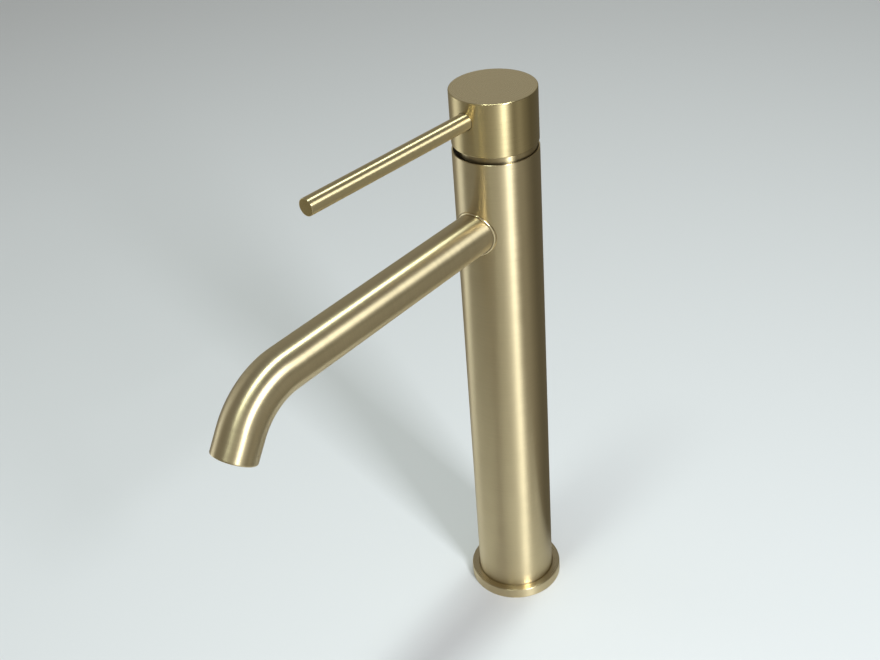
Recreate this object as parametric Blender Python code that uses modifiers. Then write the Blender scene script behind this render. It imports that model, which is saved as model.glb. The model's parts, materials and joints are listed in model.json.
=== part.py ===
"""Tall single-lever basin mixer, built as separate pieces on an upright tubular column.

Units are metres and +Z is up. The origin is on the column's axis at the top surface of the deck, and the
spout and the lever point towards -Y. The handle rests with its water shut off, turned a little to one side.

The handle turns about the column's axis and lifts about a pin inside the cartridge. Lifting it slides the
moving ceramic disc. The cap's skirt is thin and its pin sits low, so the back of the skirt swings out past
the column's wall as it goes down.
"""

import math

import bmesh
import bpy
from mathutils import Vector

# ---------------------------------------------------------------- driving dimensions
GAP = 0.0003  # left between pieces that touch
ROUND_STEPS = 36  # facets round the large outer pieces
CORE_STEPS = 24  # facets round the large pieces inside
SMALL_STEPS = 16  # facets round the small turned pieces

COLUMN_RADIUS = 0.0210
COLUMN_WALL = 0.0024
COLUMN_FOOT = 0.0020
COLUMN_TOP = 0.2729
COLUMN_RIM_CHAMFER = 0.0003
COLUMN_RIM_WALL = 0.0008  # thinned at the top by a groove round the bonnet ring
COLUMN_RIM_DEPTH = 0.0018

FLANGE_RADIUS = 0.0254
FLANGE_HEIGHT = 0.0059
FLANGE_CHAMFER = 0.0005

SPOUT_HEIGHT = 0.2350  # axis of the spout above the deck
SPOUT_RADIUS = 0.0104
SPOUT_WALL = 0.0012
SPOUT_STRAIGHT = 0.1516  # column axis to the start of the bend
SPOUT_BEND_RADIUS = 0.0334
SPOUT_BEND_ANGLE = math.radians(57.1)
SPOUT_END_LENGTH = 0.0114
SPOUT_BEND_STEPS = 9

CAP_RADIUS = 0.0209
CAP_BOTTOM = 0.2764
CAP_TOP = 0.3031
CAP_CHAMFER = 0.0004
CAP_SKIRT = 0.0010  # thickness of the skirt that swings past the column
CAP_CEILING = 0.2858  # roof of the hollow that clears the bonnet ring

LEVER_HEIGHT = 0.2932
LEVER_RADIUS = 0.0041
LEVER_REACH = 0.1194  # column axis to the tip
LEVER_SHOULDER = 0.0158  # column axis to the end of the full-size rod
HANDLE_TURN_AT_REST = math.radians(-3.8)

PIVOT_HEIGHT = 0.2650  # the pin that the handle lifts about
PIVOT_PIN_RADIUS = 0.0011
BALL_DROP = 0.0045  # pivot pin to the ball that moves the disc
BALL_RADIUS = 0.0022
SPINDLE_HALF_WIDTH = 0.0043
SPINDLE_TOP = 0.2985

PORT_X = 0.0070  # hot and cold waterways, either side of the middle
PORT_Y = 0.0040
OUTLET_PORT_Y = -0.0070
PORT_RADIUS = 0.0026
PIPE_RADIUS = 0.0040
PIPE_WALL = 0.0008

VALVE_BODY_BOTTOM = 0.2120
VALVE_BODY_TOP = 0.2490
SPOUT_SEAT_Y = -0.0145  # flat that the spout's root is screwed up to

PLUG_TOP = 0.0240
PLUG_LIP = 0.0017
INLET_RADIUS = 0.0046  # M10 x 1 socket for a supply hose
INLET_DEPTH = 0.0110

STUD_RADIUS = 0.00385  # M8
STUD_Y = -0.0095
STUD_BOTTOM = -0.0520
DECK_THICKNESS = 0.0200
WASHER_RADIUS = 0.0240

# ---------------------------------------------------------------- derived sizes
COLUMN_BORE = COLUMN_RADIUS - COLUMN_WALL
CORE_RADIUS = COLUMN_BORE - GAP  # solid pieces that fill the column
SPOUT_BORE = SPOUT_RADIUS - SPOUT_WALL

# ---------------------------------------------------------------- finishes: colour, roughness, metallic
FINISHES = {
    "brushed_gold": ((0.58, 0.48, 0.27, 1.0), 0.34, 1.0),
    "dark_gold": ((0.40, 0.31, 0.15, 1.0), 0.38, 1.0),
    "raw_brass": ((0.62, 0.46, 0.20, 1.0), 0.42, 1.0),
    "copper": ((0.72, 0.38, 0.24, 1.0), 0.35, 1.0),
    "steel": ((0.56, 0.56, 0.55, 1.0), 0.32, 1.0),
    "ceramic": ((0.86, 0.85, 0.82, 1.0), 0.22, 0.0),
    "white_plastic": ((0.78, 0.78, 0.75, 1.0), 0.48, 0.0),
    "grey_plastic": ((0.24, 0.25, 0.27, 1.0), 0.50, 0.0),
    "black_rubber": ((0.035, 0.035, 0.037, 1.0), 0.72, 0.0),
}


def clear_scene():
    for obj in list(bpy.data.objects):
        bpy.data.objects.remove(obj, do_unlink=True)


def new_collection(name):
    collection = bpy.data.collections.new(name)
    bpy.context.scene.collection.children.link(collection)
    return collection


clear_scene()
PARTS = new_collection("basin_mixer")
CUTTERS = new_collection("cutters")
CUTTERS.hide_render = True


# ---------------------------------------------------------------- making and cutting
def axis_empty(name, location, rotation=(0.0, 0.0, 0.0), parent=None):
    """An empty on a joint's or a piece's axis, which the pieces are parented to."""
    empty = bpy.data.objects.new(name, None)
    empty.empty_display_size = 0.01
    empty.location = location
    empty.rotation_euler = rotation
    empty.parent = parent
    PARTS.objects.link(empty)
    return empty


def new_piece(name, mesh, finish, parent=None, location=(0.0, 0.0, 0.0), rotation=(0.0, 0.0, 0.0)):
    """A visible piece with its own material, or a cutter where finish is None."""
    obj = bpy.data.objects.new(name, mesh)
    obj.parent = parent
    obj.location = location
    obj.rotation_euler = rotation
    if finish is None:
        CUTTERS.objects.link(obj)
        obj.hide_render = True
        obj.display_type = "WIRE"
        return obj
    PARTS.objects.link(obj)
    color, roughness, metallic = FINISHES[finish]
    material = bpy.data.materials.new(name + "_" + finish)
    material.use_nodes = True
    shader = material.node_tree.nodes["Principled BSDF"]
    shader.inputs["Base Color"].default_value = color
    shader.inputs["Roughness"].default_value = roughness
    shader.inputs["Metallic"].default_value = metallic
    mesh.materials.append(material)
    return obj


def turned(name, profile, finish, steps=ROUND_STEPS, **place):
    """A piece turned about its local Z axis. The (radius, height) points run down its outer side."""
    bm = bmesh.new()
    verts = [bm.verts.new((radius, 0.0, height)) for radius, height in profile]
    for above, below in zip(verts, verts[1:]):
        bm.edges.new((above, below))
    if min(radius for radius, _ in profile) > 0.0:
        bm.edges.new((verts[-1], verts[0]))
    mesh = bpy.data.meshes.new(name)
    bm.to_mesh(mesh)
    bm.free()
    obj = new_piece(name, mesh, finish, **place)
    screw = obj.modifiers.new("Turn", "SCREW")
    screw.steps = steps
    screw.render_steps = steps
    screw.use_merge_vertices = True
    screw.merge_threshold = 0.00001
    return obj


def cylinder(name, radius, length, finish, sides=SMALL_STEPS, **place):
    """A cylinder centred on its local origin, along local Z."""
    bm = bmesh.new()
    bmesh.ops.create_cone(
        bm, cap_ends=True, segments=sides, radius1=radius, radius2=radius, depth=length
    )
    mesh = bpy.data.meshes.new(name)
    bm.to_mesh(mesh)
    bm.free()
    return new_piece(name, mesh, finish, **place)


def box(name, low, high, finish, **place):
    """A box between two corners in its parent's frame."""
    bm = bmesh.new()
    bmesh.ops.create_cube(bm, size=1.0)
    size = Vector(high) - Vector(low)
    bmesh.ops.scale(bm, vec=size, verts=bm.verts)
    bmesh.ops.translate(bm, vec=Vector(low) + size / 2, verts=bm.verts)
    mesh = bpy.data.meshes.new(name)
    bm.to_mesh(mesh)
    bm.free()
    return new_piece(name, mesh, finish, **place)


def ball(name, radius, finish, **place):
    bm = bmesh.new()
    bmesh.ops.create_uvsphere(bm, u_segments=16, v_segments=10, radius=radius)
    mesh = bpy.data.meshes.new(name)
    bm.to_mesh(mesh)
    bm.free()
    return new_piece(name, mesh, finish, **place)


def ring_seal(name, inner_radius, thickness, finish="black_rubber", **place):
    """An O-ring with a round section, centred on its local origin."""
    sides = 6
    middle = inner_radius + thickness / 2
    angles = [math.tau * (0.5 - step / sides) for step in range(sides)]
    profile = [
        (middle + thickness / 2 * math.cos(angle), thickness / 2 * math.sin(angle)) for angle in angles
    ]
    return turned(name, profile, finish, SMALL_STEPS, **place)


def combine(obj, operation, *others):
    """Cuts the others from a piece, joins them to it, or keeps only what it shares with them."""
    for other in others:
        boolean = obj.modifiers.new(other.name, "BOOLEAN")
        boolean.operation = operation
        boolean.solver = "EXACT"
        boolean.object = other


def cut(obj, *others):
    combine(obj, "DIFFERENCE", *others)


def join(obj, *others):
    combine(obj, "UNION", *others)


def upright_hole(name, x, y, steps, sides=SMALL_STEPS):
    """A stepped vertical cutter from (radius, height) pairs listed from the top down, solid to its axis."""
    profile = [(0.0, steps[0][1]), *steps, (0.0, steps[-1][1])]
    return turned(name, profile, None, sides, location=(x, y, 0.0))


ALONG_Y = (math.pi / 2, 0.0, 0.0)  # local +Z points to -Y
ALONG_X = (0.0, math.pi / 2, 0.0)  # local +Z points to +X


# ---------------------------------------------------------------- column and foot
def make_column():
    column = turned(
        "column_body",
        [
            (COLUMN_BORE, COLUMN_TOP - COLUMN_RIM_DEPTH),
            (COLUMN_RADIUS - COLUMN_RIM_WALL, COLUMN_TOP - COLUMN_RIM_DEPTH),
            (COLUMN_RADIUS - COLUMN_RIM_WALL, COLUMN_TOP),
            (COLUMN_RADIUS - COLUMN_RIM_CHAMFER, COLUMN_TOP),
            (COLUMN_RADIUS, COLUMN_TOP - COLUMN_RIM_CHAMFER),
            (COLUMN_RADIUS, COLUMN_FOOT),
            (COLUMN_BORE, COLUMN_FOOT),
        ],
        "brushed_gold",
    )
    hole_radius = SPOUT_RADIUS + 0.0010
    cut(
        column,
        cylinder(
            "spout_hole_cutter",
            hole_radius,
            0.016,
            None,
            32,
            location=(0.0, -COLUMN_RADIUS, SPOUT_HEIGHT),
            rotation=ALONG_Y,
        ),
    )


def make_flange():
    bore = COLUMN_RADIUS + GAP
    groove_inner = bore + 0.0012
    groove_outer = groove_inner + 0.0020
    groove_top = 0.0018
    turned(
        "base_flange",
        [
            (bore, FLANGE_HEIGHT),
            (FLANGE_RADIUS - FLANGE_CHAMFER, FLANGE_HEIGHT),
            (FLANGE_RADIUS, FLANGE_HEIGHT - FLANGE_CHAMFER),
            (FLANGE_RADIUS, 0.0),
            (groove_outer, 0.0),
            (groove_outer, groove_top),
            (groove_inner, groove_top),
            (groove_inner, 0.0),
            (bore, 0.0),
        ],
        "brushed_gold",
    )
    turned(
        "base_gasket",
        [
            (groove_inner + GAP, groove_top - GAP),
            (groove_outer - GAP, groove_top - GAP),
            (groove_outer - GAP, 0.0),
            (groove_inner + GAP, 0.0),
        ],
        "black_rubber",
    )


def make_base_plug():
    """Closes the column's foot, and holds the two hose sockets, the riser pipes and the stud."""
    plug = turned(
        "base_plug",
        [
            (0.0, PLUG_TOP),
            (CORE_RADIUS, PLUG_TOP),
            (CORE_RADIUS, PLUG_LIP),
            (COLUMN_RADIUS - GAP / 3, PLUG_LIP),
            (COLUMN_RADIUS - GAP / 3, 0.0),
            (0.0, 0.0),
        ],
        "raw_brass",
        CORE_STEPS,
    )
    below = -0.002
    above = PLUG_TOP + 0.002
    for side, x in (("hot", -PORT_X), ("cold", PORT_X)):
        steps = [
            (PIPE_RADIUS + 0.0019, above),
            (PIPE_RADIUS + 0.0019, PLUG_TOP - 0.0025),
            (PIPE_RADIUS + GAP, PLUG_TOP - 0.0025),
            (PIPE_RADIUS + GAP, PLUG_TOP - 0.0080),
            (PORT_RADIUS, PLUG_TOP - 0.0080),
            (PORT_RADIUS, INLET_DEPTH),
            (INLET_RADIUS, INLET_DEPTH),
            (INLET_RADIUS, below),
        ]
        cut(plug, upright_hole(side + "_inlet_cutter", x, PORT_Y, steps))
    stud_hole = [(STUD_RADIUS + GAP, 0.0150), (STUD_RADIUS + GAP, below)]
    cut(plug, upright_hole("stud_hole_cutter", 0.0, STUD_Y, stud_hole))


def make_risers():
    """The two pipes that carry water up the column, with an O-ring at each end of each pipe."""
    foot = PLUG_TOP - 0.0080 + GAP
    head = VALVE_BODY_BOTTOM + 0.0080 - GAP
    for side, x in (("hot", -PORT_X), ("cold", PORT_X)):
        turned(
            side + "_riser_pipe",
            [
                (PIPE_RADIUS - PIPE_WALL, head),
                (PIPE_RADIUS, head),
                (PIPE_RADIUS, foot),
                (PIPE_RADIUS - PIPE_WALL, foot),
            ],
            "copper",
            SMALL_STEPS,
            location=(x, PORT_Y, 0.0),
        )
        for end, height in (("lower", PLUG_TOP - 0.0013), ("upper", VALVE_BODY_BOTTOM + 0.0013)):
            ring_seal(
                side + "_riser_" + end + "_o_ring",
                PIPE_RADIUS + 0.0002,
                0.0014,
                location=(x, PORT_Y, height),
            )


def make_deck_clamp():
    """Stud, horseshoe washers and nut that pull the foot down on a deck."""
    stud_top = 0.0150 - GAP
    turned(
        "mounting_stud",
        [
            (0.0, stud_top),
            (STUD_RADIUS, stud_top),
            (STUD_RADIUS, STUD_BOTTOM + 0.0008),
            (STUD_RADIUS - 0.0008, STUD_BOTTOM),
            (0.0, STUD_BOTTOM),
        ],
        "steel",
        SMALL_STEPS,
        location=(0.0, STUD_Y, 0.0),
    )
    mouth_half_width = 0.0135
    mouth_end = -0.0035
    top = -DECK_THICKNESS
    for name, thickness, radius, finish in (
        ("rubber_horseshoe", 0.0030, WASHER_RADIUS, "black_rubber"),
        ("clamp_horseshoe", 0.0025, WASHER_RADIUS - 0.0005, "steel"),
    ):
        middle = top - thickness / 2
        washer = cylinder(name, radius, thickness, finish, ROUND_STEPS, location=(0.0, 0.0, middle))
        mouth = box(
            name + "_mouth_cutter",
            (-mouth_half_width, mouth_end, top - 0.01),
            (mouth_half_width, 0.03, top + 0.01),
            None,
        )
        stud_clear = cylinder(
            name + "_stud_cutter",
            STUD_RADIUS + 0.0004,
            0.02,
            None,
            location=(0.0, STUD_Y, middle),
        )
        cut(washer, mouth, stud_clear)
        top -= thickness + GAP
    nut_height = 0.0120
    nut = cylinder(
        "mounting_nut", 0.0075, nut_height, "raw_brass", 6, location=(0.0, STUD_Y, top - nut_height / 2)
    )
    cut(
        nut,
        cylinder(
            "nut_bore_cutter", STUD_RADIUS + GAP, 0.02, None, location=(0.0, STUD_Y, top - nut_height / 2)
        ),
    )


# ---------------------------------------------------------------- valve body
def make_valve_body():
    """Block under the cartridge: two ways up from the pipes, and one way forward into the spout."""
    body = turned(
        "valve_body",
        [
            (0.0, VALVE_BODY_TOP),
            (CORE_RADIUS, VALVE_BODY_TOP),
            (CORE_RADIUS, VALVE_BODY_BOTTOM),
            (0.0, VALVE_BODY_BOTTOM),
        ],
        "raw_brass",
        CORE_STEPS,
    )
    above = VALVE_BODY_TOP + 0.002
    below = VALVE_BODY_BOTTOM - 0.002
    for side, x in (("hot", -PORT_X), ("cold", PORT_X)):
        steps = [
            (PORT_RADIUS, above),
            (PORT_RADIUS, VALVE_BODY_BOTTOM + 0.0080),
            (PIPE_RADIUS + GAP, VALVE_BODY_BOTTOM + 0.0080),
            (PIPE_RADIUS + GAP, VALVE_BODY_BOTTOM + 0.0025),
            (PIPE_RADIUS + 0.0019, VALVE_BODY_BOTTOM + 0.0025),
            (PIPE_RADIUS + 0.0019, below),
        ]
        cut(body, upright_hole(side + "_way_cutter", x, PORT_Y, steps))
    # Counterbore for the spout's root, then the narrower bore for the connector's nipple.
    spout_way = turned(
        "spout_way_cutter",
        [
            (0.0, 0.0220),
            (SPOUT_RADIUS + 0.0006, 0.0220),
            (SPOUT_RADIUS + 0.0006, -SPOUT_SEAT_Y),
            (0.0073, -SPOUT_SEAT_Y),
            (0.0073, 0.0022),
            (0.0, 0.0022),
        ],
        None,
        32,
        location=(0.0, 0.0, SPOUT_HEIGHT),
        rotation=ALONG_Y,
    )
    outlet = upright_hole(
        "outlet_port_cutter", 0.0, OUTLET_PORT_Y, [(PORT_RADIUS, above), (PORT_RADIUS, SPOUT_HEIGHT)]
    )
    cut(body, spout_way, outlet)


# ---------------------------------------------------------------- spout
def spout_points(root):
    """Centreline of the spout: a level run, one bend downwards and a short straight end."""
    points = [Vector((0.0, -root, SPOUT_HEIGHT))]
    centre = Vector((0.0, -SPOUT_STRAIGHT, SPOUT_HEIGHT - SPOUT_BEND_RADIUS))
    for step in range(SPOUT_BEND_STEPS + 1):
        angle = SPOUT_BEND_ANGLE * step / SPOUT_BEND_STEPS
        outward = Vector((0.0, -math.sin(angle), math.cos(angle)))
        points.append(centre + SPOUT_BEND_RADIUS * outward)
    flow = Vector((0.0, -math.cos(SPOUT_BEND_ANGLE), -math.sin(SPOUT_BEND_ANGLE)))
    points.append(points[-1] + SPOUT_END_LENGTH * flow)
    return points


def make_spout():
    root = GAP - SPOUT_SEAT_Y
    curve = bpy.data.curves.new("spout_path", "CURVE")
    curve.dimensions = "3D"
    curve.bevel_depth = SPOUT_RADIUS
    curve.bevel_resolution = 8
    points = spout_points(root)
    spline = curve.splines.new("POLY")
    spline.points.add(len(points) - 1)
    for target, point in zip(spline.points, points):
        target.co = (*point, 1.0)
    path = bpy.data.objects.new("spout_path", curve)
    CUTTERS.objects.link(path)
    bpy.context.view_layer.update()
    skin = bpy.data.meshes.new_from_object(path.evaluated_get(bpy.context.evaluated_depsgraph_get()))
    bpy.data.objects.remove(path, do_unlink=True)
    skin.materials.clear()
    tube = new_piece("spout_tube", skin, "brushed_gold")
    wall = tube.modifiers.new("Wall", "SOLIDIFY")
    wall.thickness = SPOUT_WALL
    wall.offset = -1.0
    wall.use_even_offset = True
    return points[-1]


def make_spout_root():
    """The saddle collar round the spout, the connector in its root and the connector's seal."""
    at_spout = {"location": (0.0, 0.0, SPOUT_HEIGHT), "rotation": ALONG_Y}
    collar = turned(
        "spout_collar",
        [
            (SPOUT_RADIUS + 0.0002, 0.0260),
            (SPOUT_RADIUS + 0.0008, 0.0260),
            (SPOUT_RADIUS + 0.0008, 0.0120),
            (SPOUT_RADIUS + 0.0002, 0.0120),
        ],
        "brushed_gold",
        32,
        **at_spout,
    )
    saddle_band = turned(
        "saddle_band_cutter",
        [
            (COLUMN_BORE + GAP, SPOUT_HEIGHT + 0.02),
            (COLUMN_RADIUS + 0.0006, SPOUT_HEIGHT + 0.02),
            (COLUMN_RADIUS + 0.0006, SPOUT_HEIGHT - 0.02),
            (COLUMN_BORE + GAP, SPOUT_HEIGHT - 0.02),
        ],
        None,
        72,
    )
    combine(collar, "INTERSECT", saddle_band)
    shoulder = GAP - SPOUT_SEAT_Y
    turned(
        "spout_connector",
        [
            (0.0052, 0.0220),
            (SPOUT_BORE - GAP, 0.0220),
            (SPOUT_BORE - GAP, shoulder),
            (0.0070, shoulder),
            (0.0070, 0.0136),
            (0.0059, 0.0136),
            (0.0059, 0.0118),
            (0.0070, 0.0118),
            (0.0070, 0.0108),
            (0.0052, 0.0108),
        ],
        "raw_brass",
        SMALL_STEPS,
        **at_spout,
    )
    ring_seal(
        "spout_o_ring",
        0.00605,
        0.0012,
        location=(0.0, -0.0127, SPOUT_HEIGHT),
        rotation=ALONG_Y,
    )


def make_aerator(mouth):
    """Screwed into the spout's mouth. Its local +Z runs up the spout, against the flow."""
    tilt = SPOUT_BEND_ANGLE - math.pi / 2
    outlet_axis = axis_empty("spout_outlet_axis", mouth, (tilt, 0.0, 0.0))
    bore = 0.0074
    turned(
        "aerator_housing",
        [
            (bore, 0.0086),
            (SPOUT_BORE - GAP, 0.0086),
            (SPOUT_BORE - GAP, 0.0016),
            (bore - 0.0008, 0.0010),
            (bore - 0.0008, 0.0018),
            (bore, 0.0018),
        ],
        "dark_gold",
        CORE_STEPS,
        parent=outlet_axis,
    )
    core = cylinder(
        "aerator_core", bore - GAP, 0.0042, "white_plastic", CORE_STEPS, parent=outlet_axis, location=(0, 0, 0.0042)
    )
    jets = [(0.0, 0.0)] + [
        (0.0046 * math.cos(math.tau * step / 6), 0.0046 * math.sin(math.tau * step / 6)) for step in range(6)
    ]
    for number, (x, y) in enumerate(jets):
        jet = cylinder(
            f"jet_cutter_{number}", 0.0015, 0.01, None, 8, parent=outlet_axis, location=(x, y, 0.0042)
        )
        cut(core, jet)
    cylinder(
        "aerator_screen", bore - GAP, 0.0007, "steel", CORE_STEPS, parent=outlet_axis, location=(0, 0, 0.0070)
    )
    turned(
        "aerator_washer",
        [
            (0.0058, 0.0105),
            (SPOUT_BORE - GAP, 0.0105),
            (SPOUT_BORE - GAP, 0.0089),
            (0.0058, 0.0089),
        ],
        "black_rubber",
        CORE_STEPS,
        parent=outlet_axis,
    )


# ---------------------------------------------------------------- cartridge, fixed pieces
CARTRIDGE_FOOT = VALVE_BODY_TOP + GAP
CARTRIDGE_RADIUS = 0.0172
FIXED_DISC_BOTTOM = CARTRIDGE_FOOT + 0.0035 + GAP
MOVING_DISC_BOTTOM = FIXED_DISC_BOTTOM + 0.0025 + GAP
CARRIER_BOTTOM = MOVING_DISC_BOTTOM + 0.0018 + GAP
CARRIER_TOP = CARRIER_BOTTOM + 0.0040
ROTOR_BOTTOM = CARRIER_TOP + GAP
ROTOR_FLANGE_TOP = ROTOR_BOTTOM + 0.0040
HOUSING_ROOF = ROTOR_FLANGE_TOP + GAP
HOUSING_TOP = HOUSING_ROOF + 0.0025
NUT_BOTTOM = HOUSING_TOP + GAP
NUT_TOP = NUT_BOTTOM + 0.0020
ROTOR_NECK_RADIUS = 0.0095


def port_places():
    return (("hot", -PORT_X, PORT_Y), ("cold", PORT_X, PORT_Y), ("outlet", 0.0, OUTLET_PORT_Y))


def make_cartridge_base():
    """Lower plate of the cartridge, with a seal in a recess round each of its three ports."""
    top = CARTRIDGE_FOOT + 0.0035
    base = turned(
        "cartridge_base",
        [(0.0, top), (CARTRIDGE_RADIUS, top), (CARTRIDGE_RADIUS, CARTRIDGE_FOOT), (0.0, CARTRIDGE_FOOT)],
        "white_plastic",
        CORE_STEPS,
    )
    recess_top = CARTRIDGE_FOOT + 0.0014
    for port, x, y in port_places():
        steps = [
            (PORT_RADIUS, top + 0.001),
            (PORT_RADIUS, recess_top),
            (0.0050, recess_top),
            (0.0050, CARTRIDGE_FOOT - 0.001),
        ]
        cut(base, upright_hole(port + "_port_cutter", x, y, steps))
        ring_seal(port + "_port_seal", 0.0032, 0.0012, location=(x, y, CARTRIDGE_FOOT + 0.0007))


def make_fixed_disc():
    disc_top = FIXED_DISC_BOTTOM + 0.0025
    disc = turned(
        "fixed_ceramic_disc",
        [(0.0, disc_top), (0.0135, disc_top), (0.0135, FIXED_DISC_BOTTOM), (0.0, FIXED_DISC_BOTTOM)],
        "ceramic",
        CORE_STEPS,
    )
    for port, x, y in port_places():
        through = [(PORT_RADIUS, disc_top + 0.001), (PORT_RADIUS, FIXED_DISC_BOTTOM - 0.001)]
        cut(disc, upright_hole(port + "_disc_cutter", x, y, through))


def make_cartridge_housing():
    bore = 0.0155
    foot = FIXED_DISC_BOTTOM
    turned(
        "cartridge_housing",
        [
            (ROTOR_NECK_RADIUS + GAP, HOUSING_TOP),
            (CARTRIDGE_RADIUS, HOUSING_TOP),
            (CARTRIDGE_RADIUS, foot),
            (bore, foot),
            (bore, HOUSING_ROOF),
            (ROTOR_NECK_RADIUS + GAP, HOUSING_ROOF),
        ],
        "grey_plastic",
        CORE_STEPS,
    )
    turned(
        "cartridge_nut",
        [(0.0130, NUT_TOP), (CORE_RADIUS, NUT_TOP), (CORE_RADIUS, NUT_BOTTOM), (0.0130, NUT_BOTTOM)],
        "raw_brass",
        CORE_STEPS,
    )


def make_bonnet_ring():
    """Trim ring in the column's mouth. Its wall shows in the gap under the cap, and its shoulder is part
    of a sphere about the lift pin, so that the cap's skirt swings clear of it."""
    wall_top = 0.2766
    ring_top = 0.2795
    shoulder = math.hypot(CORE_RADIUS, wall_top - PIVOT_HEIGHT)
    shoulder_heights = [ring_top, (ring_top + wall_top) / 2]
    profile = [(0.0123, ring_top)]
    profile += [(math.sqrt(shoulder**2 - (z - PIVOT_HEIGHT) ** 2), z) for z in shoulder_heights]
    profile += [
        (CORE_RADIUS, wall_top),
        (CORE_RADIUS, NUT_TOP + GAP),
        (0.0130, NUT_TOP + GAP),
    ]
    turned("bonnet_ring", profile, "dark_gold")


# ---------------------------------------------------------------- pieces that turn with the handle
def make_rotor(turn_axis):
    """Turns in the housing and carries the lift pin. The spindle swings in its slot."""
    neck_top = 0.2705  # low enough for the spindle to lean back over it
    rotor = turned(
        "cartridge_rotor",
        [
            (0.0, neck_top),
            (ROTOR_NECK_RADIUS, neck_top),
            (ROTOR_NECK_RADIUS, ROTOR_FLANGE_TOP),
            (0.0148, ROTOR_FLANGE_TOP),
            (0.0148, ROTOR_BOTTOM),
            (0.0, ROTOR_BOTTOM),
        ],
        "white_plastic",
        CORE_STEPS,
        parent=turn_axis,
    )
    half_slot = SPINDLE_HALF_WIDTH + GAP
    slot = box(
        "rotor_slot_cutter",
        (-half_slot, -0.0054, ROTOR_BOTTOM - 0.001),
        (half_slot, 0.0072, neck_top + 0.001),
        None,
        parent=turn_axis,
    )
    pin_hole = cylinder(
        "rotor_pin_cutter",
        PIVOT_PIN_RADIUS + GAP,
        0.034,
        None,
        16,
        parent=turn_axis,
        location=(0.0, 0.0, PIVOT_HEIGHT),
        rotation=ALONG_X,
    )
    cut(rotor, slot, pin_hole)
    cylinder(
        "pivot_pin",
        PIVOT_PIN_RADIUS,
        0.0250,
        "steel",
        16,
        parent=turn_axis,
        location=(0.0, 0.0, PIVOT_HEIGHT),
        rotation=ALONG_X,
    )


def make_sliding_disc(turn_axis):
    """The moving ceramic disc and the carrier that the spindle's ball pushes."""
    slide_axis = axis_empty("disc_slide_axis", (0.0, 0.0, MOVING_DISC_BOTTOM), parent=turn_axis)
    disc_radius = 0.0118
    disc_height = 0.0018
    disc = turned(
        "moving_ceramic_disc",
        [(0.0, disc_height), (disc_radius, disc_height), (disc_radius, 0.0), (0.0, 0.0)],
        "ceramic",
        CORE_STEPS,
        parent=slide_axis,
    )
    mixing_pocket = turned(
        "mixing_pocket_cutter",
        [(0.0, 0.0010), (0.0085, 0.0010), (0.0085, -0.001), (0.0, -0.001)],
        None,
        SMALL_STEPS,
        parent=slide_axis,
    )
    cut(disc, mixing_pocket)
    carrier_height = CARRIER_TOP - CARRIER_BOTTOM
    carrier = cylinder(
        "disc_carrier",
        disc_radius,
        carrier_height,
        "grey_plastic",
        CORE_STEPS,
        parent=slide_axis,
        location=(0.0, 0.0, CARRIER_BOTTOM - MOVING_DISC_BOTTOM + carrier_height / 2),
    )
    socket = cylinder(
        "ball_socket_cutter", BALL_RADIUS + GAP, 0.02, None, 20, parent=slide_axis, location=(0, 0, 0.0040)
    )
    cut(carrier, socket)


# ---------------------------------------------------------------- pieces that lift with the handle
def make_spindle(lift_axis):
    """Square stem in the cap's socket, a hub on the lift pin, and a ball that moves the disc."""
    width = SPINDLE_HALF_WIDTH
    spindle = box(
        "lever_spindle",
        (-width, -width, 0.0005),
        (width, width, SPINDLE_TOP - PIVOT_HEIGHT),
        "raw_brass",
        parent=lift_axis,
    )
    hub = cylinder(
        "spindle_hub", 0.0026, 2 * width - 0.0004, None, 20, parent=lift_axis, rotation=ALONG_X
    )
    neck = cylinder("spindle_neck", 0.0014, 0.0050, None, 12, parent=lift_axis, location=(0, 0, -0.0025))
    tip = ball("spindle_ball", BALL_RADIUS, None, parent=lift_axis, location=(0, 0, -BALL_DROP))
    join(spindle, hub, neck, tip)
    cut(
        spindle,
        cylinder(
            "spindle_pin_cutter", PIVOT_PIN_RADIUS + GAP, 0.02, None, 16, parent=lift_axis, rotation=ALONG_X
        ),
    )


def make_cap(lift_axis):
    """Handle cap: a thin skirt over the bonnet ring and a thick crown with the spindle's socket."""
    bottom = CAP_BOTTOM - PIVOT_HEIGHT
    top = CAP_TOP - PIVOT_HEIGHT
    ceiling = CAP_CEILING - PIVOT_HEIGHT
    bore = CAP_RADIUS - CAP_SKIRT
    cap = turned(
        "handle_cap",
        [
            (0.0, top),
            (CAP_RADIUS - CAP_CHAMFER, top),
            (CAP_RADIUS, top - CAP_CHAMFER),
            (CAP_RADIUS, bottom),
            (bore, bottom),
            (bore, ceiling),
            (0.0, ceiling),
        ],
        "brushed_gold",
        parent=lift_axis,
    )
    half_socket = SPINDLE_HALF_WIDTH + GAP
    socket = box(
        "spindle_socket_cutter",
        (-half_socket, -half_socket, ceiling - 0.001),
        (half_socket, half_socket, SPINDLE_TOP - PIVOT_HEIGHT + GAP),
        None,
        parent=lift_axis,
    )
    lever_hole = turned(
        "lever_hole_cutter",
        [
            (0.0, 0.024),
            (LEVER_RADIUS + GAP, 0.024),
            (LEVER_RADIUS + GAP, LEVER_SHOULDER - GAP),
            (0.0031, LEVER_SHOULDER - GAP),
            (0.0031, 0.0020),
            (0.0, 0.0020),
        ],
        None,
        SMALL_STEPS,
        parent=lift_axis,
        location=(0.0, 0.0, LEVER_HEIGHT - PIVOT_HEIGHT),
        rotation=ALONG_Y,
    )
    cut(cap, socket, lever_hole)


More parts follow.
